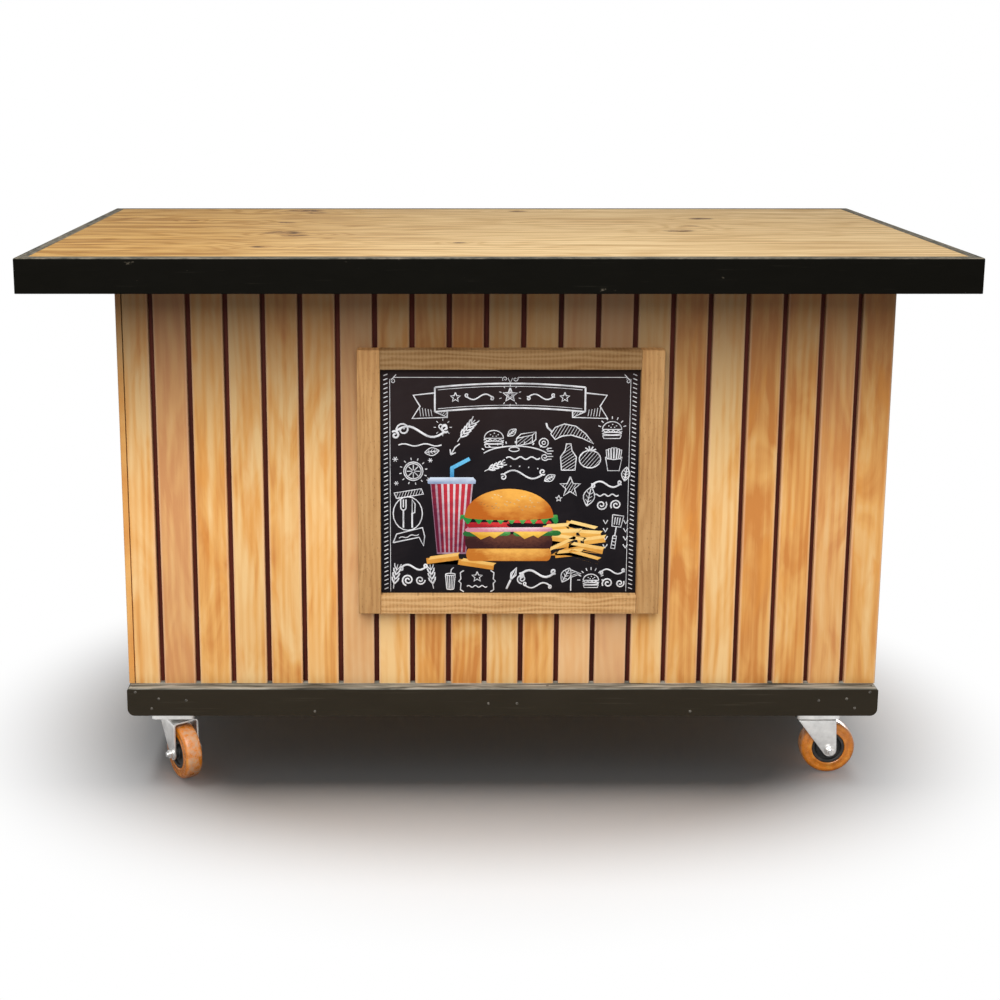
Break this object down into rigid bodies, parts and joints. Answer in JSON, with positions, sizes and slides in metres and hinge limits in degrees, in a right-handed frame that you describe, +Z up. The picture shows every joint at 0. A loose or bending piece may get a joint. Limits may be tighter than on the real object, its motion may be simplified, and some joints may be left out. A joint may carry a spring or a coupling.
{
  "type": "event cart",
  "caption": "Slatted timber serving cart with a black-edged plywood worktop, a framed chalkboard on its front and swivel castors under a painted plinth.",
  "frame": {"origin": "on the floor under the middle of the worktop", "axes": "+X to the right along the worktop as seen from the front, +Y towards the back, +Z up; the chalkboard faces -Y"},
  "size_m": [1.6, 0.8, 0.98],
  "materials": {
    "plywood": "clear satin varnish on pine plywood",
    "black_edging": "black satin paint on timber, rubbed at the edges",
    "frame_timber": "raw planed pine",
    "dark_backing": "dark wine-brown stain",
    "slat_timber": "oiled honey-coloured cedar and pine",
    "plinth_paint": "worn dark paint on rough timber",
    "sign_timber": "rough-sawn pine",
    "chalkboard": "matt chalkboard",
    "zinc_plate": "bright zinc-plated pressed steel",
    "zinc_bolt": "zinc-plated bolt and nut",
    "wheel_hub": "black moulded nylon",
    "wheel_tread": "amber polyurethane, scuffed"
  },
  "bodies": {
    "root": {"top_panel": "plywood", "edging_front": "black_edging", "edging_back": "black_edging", "edging_left": "black_edging", "edging_right": "black_edging", "corner_posts": "frame_timber", "top_rails": "frame_timber", "floor_board": "frame_timber", "backing_front": "dark_backing", "backing_back": "dark_backing", "backing_left": "dark_backing", "backing_right": "dark_backing", "slats_front": "slat_timber", "slats_back": "slat_timber", "slats_left": "slat_timber", "slats_right": "slat_timber", "plinth_front": "plinth_paint", "plinth_back": "plinth_paint", "plinth_left": "plinth_paint", "plinth_right": "plinth_paint", "sign_stile_left": "sign_timber", "sign_stile_right": "sign_timber", "sign_rail_top": "sign_timber", "sign_rail_bottom": "sign_timber", "sign_board": "chalkboard", "front_left_plate": "zinc_plate", "front_right_plate": "zinc_plate", "rear_left_plate": "zinc_plate", "rear_right_plate": "zinc_plate"},
    "front_left_castor": {"front_left_fork": "zinc_plate", "front_left_axle": "zinc_bolt"},
    "front_left_wheel": {"front_left_hub": "wheel_hub", "front_left_tread": "wheel_tread"},
    "front_right_castor": {"front_right_fork": "zinc_plate", "front_right_axle": "zinc_bolt"},
    "front_right_wheel": {"front_right_hub": "wheel_hub", "front_right_tread": "wheel_tread"},
    "rear_left_castor": {"rear_left_fork": "zinc_plate", "rear_left_axle": "zinc_bolt"},
    "rear_left_wheel": {"rear_left_hub": "wheel_hub", "rear_left_tread": "wheel_tread"},
    "rear_right_castor": {"rear_right_fork": "zinc_plate", "rear_right_axle": "zinc_bolt"},
    "rear_right_wheel": {"rear_right_hub": "wheel_hub", "rear_right_tread": "wheel_tread"}
  },
  "joints": [
    {"name": "front_left_swivel", "type": "hinge", "parent": "root", "child": "front_left_castor", "pos_m": [-0.5805, -0.253, 0.118], "axis": [0, 0, 1], "continuous": true},
    {"name": "front_left_roll", "type": "hinge", "parent": "front_left_castor", "child": "front_left_wheel", "pos_m": [-0.56525, -0.27648, 0.05], "axis": [0.8387, 0.5446, 0], "continuous": true},
    {"name": "front_right_swivel", "type": "hinge", "parent": "root", "child": "front_right_castor", "pos_m": [0.5935, -0.253, 0.118], "axis": [0, 0, 1], "continuous": true},
    {"name": "front_right_roll", "type": "hinge", "parent": "front_right_castor", "child": "front_right_wheel", "pos_m": [0.6215, -0.253, 0.05], "axis": [0, 1, 0], "continuous": true},
    {"name": "rear_left_swivel", "type": "hinge", "parent": "root", "child": "rear_left_castor", "pos_m": [-0.5805, 0.253, 0.118], "axis": [0, 0, 1], "continuous": true},
    {"name": "rear_left_roll", "type": "hinge", "parent": "rear_left_castor", "child": "rear_left_wheel", "pos_m": [-0.55512, 0.24117, 0.05], "axis": [0.4226, 0.9063, 0], "continuous": true},
    {"name": "rear_right_swivel", "type": "hinge", "parent": "root", "child": "rear_right_castor", "pos_m": [0.5935, 0.253, 0.118], "axis": [0, 0, 1], "continuous": true},
    {"name": "rear_right_roll", "type": "hinge", "parent": "rear_right_castor", "child": "rear_right_wheel", "pos_m": [0.61495, 0.271, 0.05], "axis": [-0.6428, 0.766, 0], "continuous": true}
  ]
}
